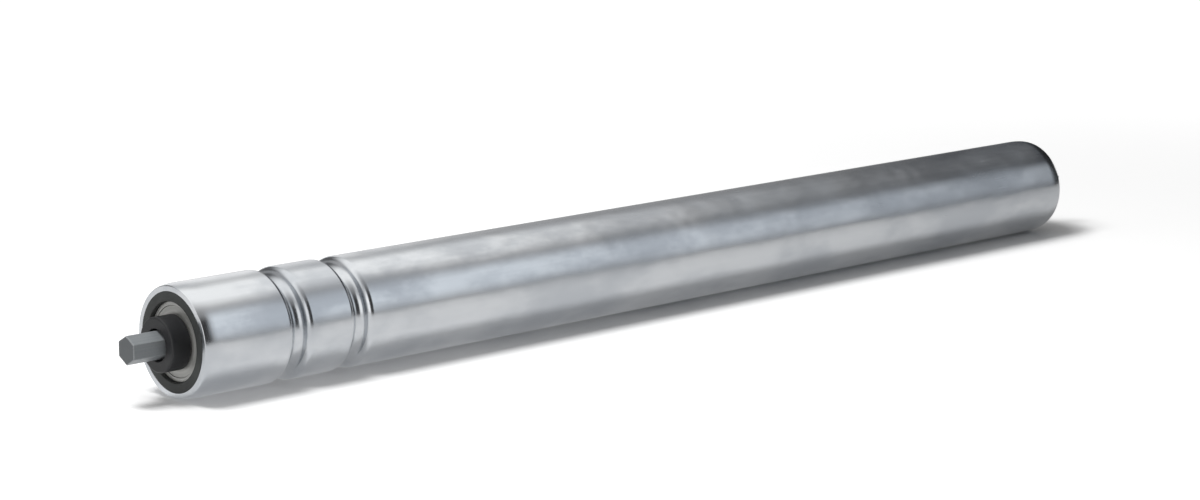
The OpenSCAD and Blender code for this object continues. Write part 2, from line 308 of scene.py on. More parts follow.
class NodeWriter:
    """Adds nodes to a tree, with inputs given by name as plain values or as sockets to link."""

    def __init__(self, tree: bpy.types.NodeTree) -> None:
        """Keeps the tree that is written to."""
        self.tree = tree

    def feed(self, node: bpy.types.Node, inputs: dict[str | int, Value]) -> None:
        """Links sockets to a node's inputs, and sets plain values on them.

        Args:
            node: The node that is fed.
            inputs: Sockets or values by the input's name or number.
        """
        for key, value in inputs.items():
            if isinstance(value, bpy.types.NodeSocket):
                self.tree.links.new(value, node.inputs[key])
            else:
                node.inputs[key].default_value = value

    def add(self, kind: str, inputs: dict[str | int, Value] | None = None,
            **settings: object) -> bpy.types.Node:
        """Adds one node.

        Args:
            kind: Type name of the node, without its ShaderNode prefix.
            inputs: Values or sockets for the node's inputs.
            settings: Properties of the node itself.

        Returns:
            The new node.
        """
        node = self.tree.nodes.new("ShaderNode" + kind)
        for key, setting in settings.items():
            setattr(node, key, setting)
        self.feed(node, inputs or {})
        return node

    def math(self, operation: str, a: Value, b: Value = 0.0) -> bpy.types.NodeSocket:
        """Adds a Math node and returns its output."""
        return self.add("Math", {0: a, 1: b}, operation=operation).outputs[0]

    def span(self, value: Value, low: Value, high: Value, to: tuple[Value, Value] = (0.0, 1.0),
             smooth: bool = False) -> bpy.types.NodeSocket:
        """Maps a value from one range to another, held at the ends.

        Args:
            value: The value to map.
            low: Start of the range that comes in.
            high: End of the range that comes in.
            to: The range that goes out.
            smooth: Whether the change eases in and out.

        Returns:
            The mapped value.
        """
        inputs = {"Value": value, "From Min": low, "From Max": high, "To Min": to[0], "To Max": to[1]}
        kind = "SMOOTHSTEP" if smooth else "LINEAR"
        return self.add("MapRange", inputs, interpolation_type=kind).outputs["Result"]

    def blend(self, mask: Value, a: Value, b: Value) -> bpy.types.NodeSocket:
        """Mixes two colours by a mask and returns the result."""
        node = self.add("Mix", {0: mask, 6: opaque(a), 7: opaque(b)}, data_type="RGBA")
        return node.outputs[2]

    def tinge(self, mask: Value, share: float, under: Value, over: Value) -> bpy.types.NodeSocket:
        """Lays a share of one colour over another by a mask and returns the result."""
        return self.blend(self.math("MULTIPLY", mask, share), under, over)

    def noise(self, where: Value, scale: float, detail: float = 2.0,
              rough: float = 0.5) -> bpy.types.NodeSocket:
        """Adds a noise and returns its value from 0 to 1."""
        inputs = {"Vector": where, "Scale": scale, "Detail": detail, "Roughness": rough}
        return self.add("TexNoise", inputs).outputs[0]

    def stretched(self, where: Value, scale: tuple[float, float, float]) -> bpy.types.NodeSocket:
        """Scales a position by axis and returns it."""
        return self.add("Mapping", {"Vector": where, "Scale": scale}).outputs[0]

    def sized(self, size: Value) -> bpy.types.NodeSocket:
        """Adds the place on the object, counted in steps of a size.

        Args:
            size: The size in metres.

        Returns:
            The place as a vector.
        """
        where = self.add("TexCoord").outputs["Object"]
        scale = self.math("DIVIDE", 1.0, size)
        return self.add("VectorMath", {0: where, "Scale": scale}, operation="SCALE").outputs[0]

    def rays(self) -> tuple[bpy.types.NodeSocket, bpy.types.NodeSocket]:
        """Adds masks for two kinds of ray.

        Returns:
            The mask of the camera's own rays, and the mask of what metal mirrors and glass lets through.
        """
        path = self.add("LightPath").outputs
        mirrored = self.math("MAXIMUM", path["Is Glossy Ray"], path["Is Transmission Ray"])
        return path["Is Camera Ray"], mirrored

    def group(self, tree: bpy.types.NodeTree, inputs: dict[str, Value]) -> bpy.types.Node:
        """Places a node group with its own values.

        Args:
            tree: The group's tree.
            inputs: Values or sockets for its inputs.

        Returns:
            The group node.
        """
        node = self.tree.nodes.new("ShaderNodeGroup")
        node.node_tree = tree
        self.feed(node, inputs)
        return node


def blank(owner: bpy.types.Material | bpy.types.World) -> NodeWriter:
    """Turns on the nodes of a material or a world and clears them.

    Args:
        owner: The material or the world.

    Returns:
        A writer for its empty tree.
    """
    owner.use_nodes = True
    owner.node_tree.nodes.clear()
    return NodeWriter(owner.node_tree)


def opaque(value: Value) -> Value:
    """Adds full alpha to a plain colour, and leaves a socket as it is."""
    return value if isinstance(value, bpy.types.NodeSocket) else (*value, 1.0)


# ---- Effects that several finishes share ----

# How each pattern is scaled along X, Y and Z: a small number draws it out along that axis.
CLOUD_STRETCH = (0.55, 1.0, 1.0)
STREAK_STRETCH = (0.012, 1.0, 1.0)
WIPE_STRETCH = (0.5, 1.4, 1.0)
HAIR_STRETCH = (0.3, 9.0, 2.0)
# How the hairline scratches are turned away from the axes, in radians.
HAIR_TURN = (0.3, 0.5, 0.6)
# Shares of the broad and the fine noise in a cloud, and of wiping marks beside scratches.
BROAD_SHARE = 0.75
FINE_SHARE = 0.25
WIPE_SHARE = 0.6
# Cosine between a rounded and a true normal, where rubbing starts on an edge and where it is full.
EDGE_START = 0.995
EDGE_FULL = 0.86
EDGE_SAMPLES = 6
# Patches for each metre along a rubbed edge, and how much of the rub the sparest patch keeps.
EDGE_PATCHES = 900.0
EDGE_LEAST = 0.35


@dataclass(frozen=True)
class Effect:
    """A shader node group with named inputs and outputs, built once and placed in each material."""

    name: str
    inputs: dict[str, float]
    outputs: tuple[str, ...]
    work: Callable[[NodeWriter, bpy.types.Node], tuple[bpy.types.NodeSocket, ...]]

    def tree(self) -> bpy.types.NodeTree:
        """Builds the group the first time, and finds it again later.

        Returns:
            The group's node tree.
        """
        found = bpy.data.node_groups.get(self.name)
        if found:
            return found
        tree = bpy.data.node_groups.new(self.name, "ShaderNodeTree")
        for name, value in self.inputs.items():
            socket = tree.interface.new_socket(name=name, in_out="INPUT", socket_type="NodeSocketFloat")
            socket.default_value = value
        for name in self.outputs:
            tree.interface.new_socket(name=name, in_out="OUTPUT", socket_type="NodeSocketFloat")
        entry = tree.nodes.new("NodeGroupInput")
        way_out = tree.nodes.new("NodeGroupOutput")
        for name, socket in zip(self.outputs, self.work(NodeWriter(tree), entry)):
            tree.links.new(socket, way_out.inputs[name])
        return tree

    def place(self, write: NodeWriter, **values: float) -> bpy.types.Node:
        """Places the effect in a material.

        Args:
            write: Writer of the material's tree.
            values: Values of the effect's inputs, with _ for a space.

        Returns:
            The group node, with one output for each name.
        """
        return write.group(self.tree(), {key.replace("_", " "): value for key, value in values.items()})


def cloud_work(write: NodeWriter, entry: bpy.types.Node) -> tuple[bpy.types.NodeSocket, ...]:
    """Writes soft patches, as on plated sheet, with a finer cloud over them.

    Args:
        write: Writer of the group's tree.
        entry: The group's input node.

    Returns:
        The cloud from 0 to 1, and a height for bump.
    """
    drawn = write.stretched(write.sized(entry.outputs["Patch Size"]), CLOUD_STRETCH)
    warp = write.add("TexNoise", {"Vector": drawn, "Scale": 0.8, "Detail": 1.0})
    bent = write.add("VectorMath", {0: drawn, 1: warp.outputs[1]}, operation="ADD").outputs[0]
    broad = write.noise(bent, scale=1.0, detail=2.0, rough=0.45)
    fine = write.noise(drawn, scale=4.5, detail=4.0, rough=0.6)
    mixed = write.math("ADD", write.math("MULTIPLY", broad, BROAD_SHARE),
                       write.math("MULTIPLY", fine, FINE_SHARE))
    cloud = write.span(mixed, low=0.36, high=0.64, smooth=True)
    return cloud, broad


def streak_work(write: NodeWriter, entry: bpy.types.Node) -> tuple[bpy.types.NodeSocket, ...]:
    """Writes fine lines along the axis, as drawing through a die leaves them.

    Args:
        write: Writer of the group's tree.
        entry: The group's input node.

    Returns:
        The streaks from 0 to 1.
    """
    drawn = write.stretched(write.sized(entry.outputs["Line Width"]), STREAK_STRETCH)
    lines = write.noise(drawn, scale=1.0, detail=3.0, rough=0.6)
    return (write.span(lines, low=0.3, high=0.7),)


def turning_work(write: NodeWriter, entry: bpy.types.Node) -> tuple[bpy.types.NodeSocket, ...]:
    """Writes the fine rings that turning and grinding leave round the axis.

    Args:
        write: Writer of the group's tree.
        entry: The group's input node.

    Returns:
        The rings from 0 to 1, and a coarser banding from 0 to 1.
    """
    where = write.add("SeparateXYZ", {0: write.add("TexCoord").outputs["Object"]})
    reach = write.math("SQRT", write.math("ADD", write.math("POWER", where.outputs[1], 2.0),
                                          write.math("POWER", where.outputs[2], 2.0)))
    across = write.math("DIVIDE", write.math("ADD", reach, where.outputs[0]), entry.outputs["Pitch"])
    rings = write.add("TexNoise", {"W": across, "Scale": 1.0, "Detail": 3.0}, noise_dimensions="1D")
    bands = write.add("TexNoise", {"W": across, "Scale": 0.16, "Detail": 1.0}, noise_dimensions="1D")
    return write.span(rings.outputs[0], low=0.3, high=0.7), write.span(bands.outputs[0], low=0.35, high=0.65)


def grain_work(write: NodeWriter, entry: bpy.types.Node) -> tuple[bpy.types.NodeSocket, ...]:
    """Writes an even fine grain, as an eroded mould or bare metal has.

    Args:
        write: Writer of the group's tree.
        entry: The group's input node.

    Returns:
        The grain from 0 to 1.
    """
    grain = write.noise(write.sized(entry.outputs["Grain Size"]), scale=1.0, detail=3.0, rough=0.6)
    return (write.span(grain, low=0.3, high=0.7),)


def edge_work(write: NodeWriter, entry: bpy.types.Node) -> tuple[bpy.types.NodeSocket, ...]:
    """Writes a mask of the edges that handling rubs, broken up by a noise.

    Args:
        write: Writer of the group's tree.
        entry: The group's input node.

    Returns:
        The mask from 0 to 1.
    """
    rounded = write.add("Bevel", {"Radius": entry.outputs["Reach"]}, samples=EDGE_SAMPLES).outputs[0]
    true = write.add("NewGeometry").outputs["Normal"]
    turn = write.add("VectorMath", {0: rounded, 1: true}, operation="DOT_PRODUCT").outputs["Value"]
    edge = write.span(turn, EDGE_START, EDGE_FULL)
    where = write.add("TexCoord").outputs["Object"]
    chips = write.noise(where, EDGE_PATCHES, detail=3.0, rough=0.65)
    return (write.math("MULTIPLY", edge, write.span(chips, low=0.35, high=0.6, to=(EDGE_LEAST, 1.0))),)


def mark_work(write: NodeWriter, entry: bpy.types.Node) -> tuple[bpy.types.NodeSocket, ...]:
    """Writes faint wiping marks and a few hairline scratches.

    Args:
        write: Writer of the group's tree.
        entry: The group's input node.

    Returns:
        The marks from 0 to 1.
    """
    flat = write.sized(entry.outputs["Mark Size"])
    smears = write.noise(write.stretched(flat, WIPE_STRETCH), scale=1.0, detail=2.0, rough=0.5)
    wiped = write.span(smears, low=0.5, high=0.75)
    askew = write.add("Mapping", {"Vector": flat, "Rotation": HAIR_TURN, "Scale": HAIR_STRETCH}).outputs[0]
    hairs = write.span(write.noise(askew, scale=3.0, detail=2.0), low=0.69, high=0.74)
    return (write.math("MAXIMUM", write.math("MULTIPLY", wiped, WIPE_SHARE), hairs),)


CLOUDS = Effect("cloudy_plating", {"Patch Size": 0.03}, ("Cloud", "Height"), cloud_work)
STREAKS = Effect("drawn_streaks", {"Line Width": 0.001}, ("Streaks",), streak_work)
TURNING = Effect("turned_rings", {"Pitch": 0.0002}, ("Rings", "Bands"), turning_work)
GRAIN = Effect("fine_grain", {"Grain Size": 0.0003}, ("Grain",), grain_work)
RUBBED_EDGE = Effect("rubbed_edge", {"Reach": 0.0004}, ("Edge",), edge_work)
MARKS = Effect("handling_marks", {"Mark Size": 0.02}, ("Marks",), mark_work)


# ---- Finishes ----


@dataclass(frozen=True)
class Finish:
    """A finish, with the colour of most of its surface, that of the rest, and its roughness.

    roughness goes from its smoothest to its roughest part.
    """

    name: str
    slot: Slot
    colour: Colour
    second: Colour
    roughness: tuple[float, float]

    def material(self) -> bpy.types.Material:
        """Builds the finish's material the first time, and finds it again later.

        Returns:
            The material.
        """
        found = bpy.data.materials.get(self.name)
        if found:
            return found
        made = bpy.data.materials.new(self.name)
        write = blank(made)
        shader = write.add("BsdfPrincipled")
        self.write(write, shader)
        write.add("OutputMaterial", {"Surface": shader.outputs[0]})
        return made

    def write(self, write: NodeWriter, shader: bpy.types.Node) -> None:
        """Writes the finish's nodes into the shader's sockets."""
        raise NotImplementedError

    def dress(self, piece: bpy.types.Object) -> None:
        """Puts the finish on a new piece.

        Args:
            piece: A piece without materials.
        """
        piece.data.materials.append(self.material())

    def bump(self, write: NodeWriter, shader: bpy.types.Node, layers: list[tuple[Value, float]]) -> None:
        """Stacks bumps into the shader's normal.

        Args:
            write: Writer of the material's tree.
            shader: The shader that takes the normal.
            layers: Heights from 0 to 1, each with its depth in metres.
        """
        normal = None
        for height, depth in layers:
            inputs = {"Height": height, "Distance": depth, "Strength": 1.0}
            if normal:
                inputs["Normal"] = normal
            normal = write.add("Bump", inputs).outputs[0]
        write.feed(shader, {"Normal": normal})


@dataclass(frozen=True)
class PlatedSteel(Finish):
    """Bright zinc plating on smooth steel: cloudy, faintly streaked and wiped.

    Sizes and depths are in metres. A share says how much of an effect's colour shows.
    """

    patch: float
    wave: float
    line: float = 0.0012
    line_share: float = 0.10
    line_rough: float = 0.03
    line_depth: float = 0.0000012
    mark: float = 0.018
    mark_rough: float = 0.025
    edge: float = 0.0005
    edge_share: float = 0.5
    rub: Colour = (0.80, 0.81, 0.82)

    def write(self, write: NodeWriter, shader: bpy.types.Node) -> None:
        """Writes cloud, streaks, marks and bright edges.

        Args:
            write: Writer of the material's tree.
            shader: The shader to feed.
        """
        clouds = CLOUDS.place(write, Patch_Size=self.patch)
        cloud = clouds.outputs["Cloud"]
        streaks = STREAKS.place(write, Line_Width=self.line).outputs["Streaks"]
        marks = MARKS.place(write, Mark_Size=self.mark).outputs["Marks"]
        edge = RUBBED_EDGE.place(write, Reach=self.edge).outputs["Edge"]
        base = write.blend(cloud, self.second, self.colour)
        lined = write.tinge(streaks, self.line_share, base, self.second)
        bright = write.tinge(edge, self.edge_share, lined, self.rub)
        rough = write.span(cloud, 0.0, 1.0, (self.roughness[1], self.roughness[0]))
        rough = write.math("ADD", rough, write.math("MULTIPLY", marks, self.mark_rough))
        rough = write.math("ADD", rough, write.math("MULTIPLY", streaks, self.line_rough))
        write.feed(shader, {"Metallic": 1.0, "Base Color": bright, "Roughness": rough})
        self.bump(write, shader, [(clouds.outputs["Height"], self.wave), (streaks, self.line_depth)])


@dataclass(frozen=True)
class DrawnSteel(Finish):
    """Dark drawn bar or wire: streaked along its length, with edges rubbed bright and ends darkened by
    painted shade.

    Sizes and depths are in metres. end_shade is the brightness of a face that looks along the axis, as a
    share of the second colour: below 1 it is painted shade that darkens the ends. end_facing says how
    squarely a face looks along the axis, first where it starts to count as an end and then where it is one.
    """

    metallic: float
    rub: Colour
    end_shade: float = 1.0
    specular: float = 0.5
    end_facing: tuple[float, float] = (0.9, 0.98)
    line: float = 0.0006
    line_share: float = 0.5
    grain: float = 0.0004
    grain_share: float = 0.5
    relief: float = 0.0000008
    mark: float = 0.006
    mark_rough: float = 0.05
    edge: float = 0.0007
    edge_share: float = 0.85

    def write(self, write: NodeWriter, shader: bpy.types.Node) -> None:
        """Writes streaks, grain, painted shade on the ends, and rubbed edges that also paint highlight lines
        on the corners.

        Args:
            write: Writer of the material's tree.
            shader: The shader to feed.
        """
        streaks = STREAKS.place(write, Line_Width=self.line).outputs["Streaks"]
        grain = GRAIN.place(write, Grain_Size=self.grain).outputs["Grain"]
        marks = MARKS.place(write, Mark_Size=self.mark).outputs["Marks"]
        edge = RUBBED_EDGE.place(write, Reach=self.edge).outputs["Edge"]
        lines = write.math("MULTIPLY", streaks, self.line_share)
        worn = write.math("ADD", lines, write.math("MULTIPLY", grain, self.grain_share))
        base = write.blend(worn, self.second, self.colour)
        # Faces that look along the axis take the second colour times end_shade: painted shade on the ends.
        facing = write.add("SeparateXYZ", {0: write.add("TexCoord").outputs["Normal"]}).outputs[0]
        end = write.span(write.math("ABSOLUTE", facing), *self.end_facing)
        sides = write.blend(end, base, tuple(c * self.end_shade for c in self.second))
        # Paler rubbed edges: wear that on the bar also paints the highlight lines along its corners.
        rubbed = write.tinge(edge, self.edge_share, sides, self.rub)
        rough = write.span(worn, 0.0, 1.0, (self.roughness[1], self.roughness[0]))
        rough = write.math("SUBTRACT", rough, write.math("MULTIPLY", marks, self.mark_rough))
        write.feed(shader, {"Metallic": self.metallic, "Specular IOR Level": self.specular,
                            "Base Color": rubbed, "Roughness": rough})
        self.bump(write, shader, [(streaks, self.relief), (grain, self.relief)])


@dataclass(frozen=True)
class TurnedSteel(Finish):
    """Ground or pressed bearing steel with fine rings round the axis. Sizes and depths are in metres."""

    pitch: float
    metallic: float = 1.0
    ring_share: float = 0.22
    ring_depth: float = 0.000004
    band_depth: float = 0.00001
    mark: float = 0.007
    mark_rough: float = 0.07
    edge: float = 0.0002
    edge_share: float = 0.5
    rub: Colour = (0.72, 0.71, 0.68)

    def write(self, write: NodeWriter, shader: bpy.types.Node) -> None:
        """Writes rings, bands and a light film of oil.

        Args:
            write: Writer of the material's tree.
            shader: The shader to feed.
        """
        work = TURNING.place(write, Pitch=self.pitch).outputs
        rings, bands = work["Rings"], work["Bands"]
        marks = MARKS.place(write, Mark_Size=self.mark).outputs["Marks"]
        edge = RUBBED_EDGE.place(write, Reach=self.edge).outputs["Edge"]
        base = write.blend(bands, self.second, self.colour)
        lined = write.tinge(rings, self.ring_share, base, self.second)
        bright = write.tinge(edge, self.edge_share, lined, self.rub)
        rough = write.span(rings, 0.0, 1.0, self.roughness)
        rough = write.math("ADD", rough, write.math("MULTIPLY", marks, self.mark_rough))
        write.feed(shader, {"Metallic": self.metallic, "Base Color": bright, "Roughness": rough})
        self.bump(write, shader, [(rings, self.ring_depth), (bands, self.band_depth)])


@dataclass(frozen=True)
class MouldedPlastic(Finish):
    """Dark moulded plastic with a fine eroded grain and edges that handling has paled.

    Sizes and depths are in metres. paled is how much lighter than the second colour a rubbed edge is.
    """

    grain: float
    specular: float
    grain_share: float = 0.25
    grain_depth: float = 0.000012
    flow: float = 0.009
    flow_share: float = 0.6
    flow_depth: float = 0.00003
    mark: float = 0.009
    mark_rough: float = 0.08
    edge: float = 0.00035
    edge_share: float = 0.35
    paled: float = 2.2

    def write(self, write: NodeWriter, shader: bpy.types.Node) -> None:
        """Writes grain, faint flow marks and paled edges.

        Args:
            write: Writer of the material's tree.
            shader: The shader to feed.
        """
        grain = GRAIN.place(write, Grain_Size=self.grain).outputs["Grain"]
        flow = CLOUDS.place(write, Patch_Size=self.flow).outputs
        marks = MARKS.place(write, Mark_Size=self.mark).outputs["Marks"]
        edge = RUBBED_EDGE.place(write, Reach=self.edge).outputs["Edge"]
        base = write.tinge(flow["Cloud"], self.flow_share, self.colour, self.second)
        speckled = write.tinge(grain, self.grain_share, base, self.second)
        rub = tuple(min(1.0, c * self.paled) for c in self.second)
        pale = write.tinge(edge, self.edge_share, speckled, rub)
        rough = write.span(grain, 0.0, 1.0, self.roughness)
        rough = write.math("SUBTRACT", rough, write.math("MULTIPLY", marks, self.mark_rough))
        write.feed(shader, {"Metallic": 0.0, "Specular IOR Level": self.specular,
                            "Base Color": pale, "Roughness": rough})
        self.bump(write, shader, [(flow["Height"], self.flow_depth), (grain, self.grain_depth)])


TUBE_ZINC = PlatedSteel("bright_zinc_tube", Slot.ZINC, (0.638, 0.654, 0.673), (0.509, 0.531, 0.56),
                        (0.15, 0.24), patch=0.026, wave=0.0005)
WASHER_ZINC = PlatedSteel("zinc_washer", Slot.WASHER, (0.66, 0.67, 0.68), (0.55, 0.56, 0.58),
                          (0.28, 0.42), patch=0.006, wave=0.00003)
# The bar's end faces are darkened to 0.56 of its second colour with painted shade.
BAR_STEEL = DrawnSteel("dark_drawn_bar", Slot.SHAFT, (0.283, 0.3, 0.313), (0.223, 0.24, 0.252),
                       (0.3, 0.42), metallic=0.05, rub=(0.62, 0.63, 0.64), end_shade=0.56, specular=0.25)
CLIP_STEEL = DrawnSteel("black_spring_clip", Slot.CLIP, (0.05, 0.05, 0.055), (0.03, 0.03, 0.032),
                        (0.35, 0.5), metallic=0.4, rub=(0.2, 0.2, 0.21))
WIRE_STEEL = DrawnSteel("plated_spring_wire", Slot.SPRING, (0.60, 0.61, 0.62), (0.48, 0.49, 0.5),
                        (0.25, 0.38), metallic=1.0, rub=(0.7, 0.7, 0.71))
RING_STEEL = TurnedSteel("ground_ring_steel", Slot.BEARING, (0.53, 0.53, 0.51), (0.43, 0.43, 0.412),
                         (0.26, 0.4), pitch=0.00022, metallic=0.3)
SHIELD_STEEL = TurnedSteel("pressed_shield_steel", Slot.SHIELD, (0.5, 0.5, 0.48), (0.4, 0.4, 0.382),
                           (0.3, 0.45), pitch=0.00034, metallic=0.3)
CAGE_STEEL = TurnedSteel("pressed_cage_steel", Slot.CAGE, (0.5, 0.48, 0.44), (0.4, 0.38, 0.35),
                         (0.32, 0.46), pitch=0.0005)
BALL_STEEL = TurnedSteel("polished_ball_steel", Slot.BALL, (0.72, 0.72, 0.73), (0.68, 0.68, 0.69),
                         (0.06, 0.1), pitch=0.002)
SEAT_PLASTIC = MouldedPlastic("dark_grey_moulding", Slot.SEAT, (0.042, 0.045, 0.044),
                              (0.058, 0.062, 0.06), (0.5, 0.66), grain=0.0004, specular=0.3)
BUSH_PLASTIC = MouldedPlastic("near_black_moulding", Slot.BUSH, (0.017, 0.0175, 0.019),
                              (0.027, 0.0275, 0.03), (0.42, 0.56), grain=0.0003, specular=0.4)


# ---- The roller's own pieces ----


@dataclass
class Tube:
    """The zinc-plated tube, with rolled grooves for round belts and a rolled-in rim at each end."""

    wall: float = 1.5
    rim_reach: float = 3.2
    rim_round: float = 1.0
    rim_stretch: float = 7.0
    rim_bend: float = 0.3
    rim_break: float = 0.25
    groove_count: int = 2
    groove_start: float = 50.0
    groove_pitch: float = 33.3
    groove_depth: float = 5.0
    groove_seat: float = 3.7
    groove_lip: float = 3.0
    facets: int = 240

    @property
    def radius(self) -> float:
        """Outside radius, from the narrower side of the faceted tube in the frame."""
        high = node_box("tube")[1]
        return min(high.y, high.z) / MM

    @property
    def length(self) -> float:
        """Length over both rims, from the frame."""
        low, high = node_box("tube")
        return (high.x - low.x) / MM

    def groove(self, path: Outline, middle: float, inset: float) -> None:
        """Draws one rolled groove: a lip, a round seat and a second lip.

        Args:
            path: The outline that the groove is drawn on.
            middle: Distance of the groove's middle from the tube's end.
            inset: How far the skin lies inside the tube's surface.
        """
        rise = self.groove_seat + self.groove_lip - self.groove_depth
        half = math.sqrt((self.groove_seat + self.groove_lip) ** 2 - rise ** 2)
        slope = math.degrees(math.atan2(rise, half))
        lip_r = self.radius - self.groove_lip
        lip = self.groove_lip - inset
        path.arc(middle - half, lip_r, lip, 90, slope)
        path.arc(middle, lip_r + rise, self.groove_seat + inset, 180 + slope, 360 - slope)
        path.arc(middle + half, lip_r, lip, 180 - slope, 90)

    def skin(self, inset: float, corner: float, stretch: float = 1.0) -> Outline:
        """Draws the tube's outer or inner skin from one rim to the other.

        Args:
            inset: How far the skin lies inside the tube's surface.
            corner: Radius of the bend at the rims.
            stretch: How much longer the bend is along the tube.

        Returns:
            The open path, from the left rim's opening to the right one.
        """
        opening = self.radius - self.rim_reach
        edge = self.rim_break
        toward = 1 if inset else -1
        surface = self.radius - inset
        bend = inset + stretch * corner
        path = Outline()
        path.arc(inset - toward * edge, opening + edge, edge, 270, 180 if toward < 0 else 360)
        path.arc(bend, surface - corner, corner, 180, 90, stretch)
        for i in range(self.groove_count):
            self.groove(path, self.groove_start + i * self.groove_pitch, inset)
        path.arc(self.length - bend, surface - corner, corner, 90, 0, stretch)
        last = (0, -90) if toward < 0 else (180, 270)
        path.arc(self.length - inset + toward * edge, opening + edge, edge, *last)
        return path

    def build(self) -> bpy.types.Object:
        """Builds and dresses the tube.

        Returns:
            The tube, riding on the roller.
        """
        outside = self.skin(0.0, self.rim_round, self.rim_stretch)
        section = outside.add(self.skin(self.wall, self.rim_bend))
        piece = turned("zinc_tube", section, TubeEnd(Side.LEFT).x, self.facets)
        TUBE_ZINC.dress(piece)
        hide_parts("tube")
        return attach(piece, Body.ROLLER.value)


@dataclass
class Shaft:
    """The hexagon bar with its broken ends and the grooves for its clips."""

    across_flats: float = 11.0
    corner_round: float = 0.35
    end_break: float = 0.22
    groove_depth: float = 0.5
    groove_play: float = 0.1
    corner_steps: int = 5

    def ring(self, x: float, inset: float) -> list[Vector]:
        """Gives the bar's outline with rounded corners.

        Args:
            x: Where the ring lies along the bar, in metres.
            inset: How far the outline lies inside the bar's surface.

        Returns:
            The ring's points in metres.
        """
        radius = self.corner_round - inset
        out = (self.across_flats / 2 - self.corner_round) / math.cos(math.pi / HEXAGON)
        points = []
        for k in range(HEXAGON):
            middle = 2 * math.pi * k / HEXAGON
            for j in range(self.corner_steps + 1):
                angle = middle + (j / self.corner_steps - 0.5) * 2 * math.pi / HEXAGON
                points.append(round_the_axis(x, out, middle) + round_the_axis(0.0, radius, angle))
        return points

    def groove_ring(self, x: float) -> list[Vector]:
        """Gives the round bottom of a clip groove, with a point under each point of the bar's outline."""
        reach = self.across_flats / 2 - self.groove_depth
        return [round_the_axis(x, reach, math.atan2(-p.y, p.z)) for p in self.ring(x, 0.0)]

    def grooves(self) -> list[tuple[float, float]]:
        """Finds the grooves from the clips that lie in them.

        Returns:
            Lowest and highest X of each groove, in metres.
        """
        left, right = node_box("left_stop_clip"), node_box("spring_clip")
        play = self.groove_play * MM
        return [(left[0].x, left[1].x + play), (right[0].x - play, right[1].x)]

    def build(self) -> bpy.types.Object:
        """Builds and dresses the bar.

        Returns:
            The bar, riding on its own body.
        """
        low, high = (corner.x for corner in node_box("shaft"))
        edge = self.end_break * MM
        rings = [self.ring(low, self.end_break), self.ring(low + edge, 0.0)]
        for start, end in self.grooves():
            rings += [self.ring(start, 0.0), self.groove_ring(start)]
            rings += [self.groove_ring(end), self.ring(end, 0.0)]
        rings += [self.ring(high - edge, 0.0), self.ring(high, self.end_break)]
        piece = skinned("hexagon_shaft", rings)
        BAR_STEEL.dress(piece)
        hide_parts("shaft")
        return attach(piece, Body.SHAFT.value)


@dataclass
class BearingSeat:
    """The plastic seat that is pressed into the tube and holds the bearing."""

    side: Side
    sleeve_r: float = 17.52
    sleeve_wall: float = 2.0
    boss_r: float = 21.7
    skirt_r: float = 23.48
    skirt_wall: float = 1.6
    web: float = 3.0
    length: float = 19.0
    pocket: float = 13.0
    shoulder: float = 1.6
    shoulder_r: float = 16.0
    rim_wall: float = 1.5
    rim_clear: float = 0.4
    edge: float = 0.4
    rib_count: int = 12
    rib: float = 1.5
    facets: int = 192

    def outline(self) -> Outline:
        """Draws the seat's section without its ribs.

        Returns:
            The closed outline.
        """
        sleeve_out = self.sleeve_r + self.sleeve_wall
        back = self.pocket + self.shoulder
        path = Outline()
        path.arc(self.edge, self.sleeve_r + self.edge, self.edge, 270, 180)
        path.arc(self.edge / 2, self.boss_r - self.edge / 2, self.edge / 2, 180, 90)
        path.to(self.rim_wall, self.boss_r).to(self.rim_wall, self.skirt_r - self.rim_clear)
        path.to(self.rim_wall + self.rim_clear, self.skirt_r).to(self.length, self.skirt_r)
        path.to(self.length, self.skirt_r - self.skirt_wall).to(self.web, self.skirt_r - self.skirt_wall)
        path.to(self.web, sleeve_out).to(back, sleeve_out).to(back, self.shoulder_r)
        path.to(self.pocket, self.shoulder_r).to(self.pocket, self.sleeve_r)
        return path

    def ribs(self, place: Callable[[float], float]) -> bpy.types.Object:
        """Builds the ribs between sleeve and skirt, each sunk a little into both.

        Args:
            place: Gives X in metres for a distance u.

        Returns:
            One object with all the ribs.
        """
        sunk = min(self.sleeve_wall, self.skirt_wall) / 2
        low = self.sleeve_r + self.sleeve_wall - sunk
        high = self.skirt_r - self.skirt_wall + sunk
        shape = bmesh.new()
        for k in range(self.rib_count):
            angle = 2 * math.pi * k / self.rib_count
            across = round_the_axis(0.0, self.rib / 2, angle + math.pi / 2)
            ends = []
            for u in (self.web - sunk, self.pocket + self.shoulder - self.edge):
                inner, outer = (round_the_axis(place(u), reach, angle) for reach in (low, high))
                ends.append([shape.verts.new(p) for p in
                             (inner - across, outer - across, outer + across, inner + across)])
            shape.faces.new(ends[0])
            shape.faces.new(ends[1])
            band(shape, *ends)
        return finished(f"{self.side.word}_seat_ribs", shape)

    def build(self) -> bpy.types.Object:
        """Builds the seat with its ribs joined in, and dresses it.

        Returns:
            The seat, riding on the roller.
        """
        place = TubeEnd(self.side).x
        piece = turned(f"{self.side.word}_seat_moulding", self.outline(), place, self.facets)
        ribs = self.ribs(place)
        join = piece.modifiers.new("ribs", "BOOLEAN")
        join.operation = "UNION"
        join.solver = "EXACT"
        join.object = ribs
        piece.modifiers.move(len(piece.modifiers) - 1, 0)
        bpy.context.view_layer.objects.active = piece
        bpy.ops.object.modifier_apply(modifier=join.name)
        bpy.data.objects.remove(ribs)
        SEAT_PLASTIC.dress(piece)
        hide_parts(f"{self.side.word}_bearing_seat")
        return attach(piece, Body.ROLLER.value)


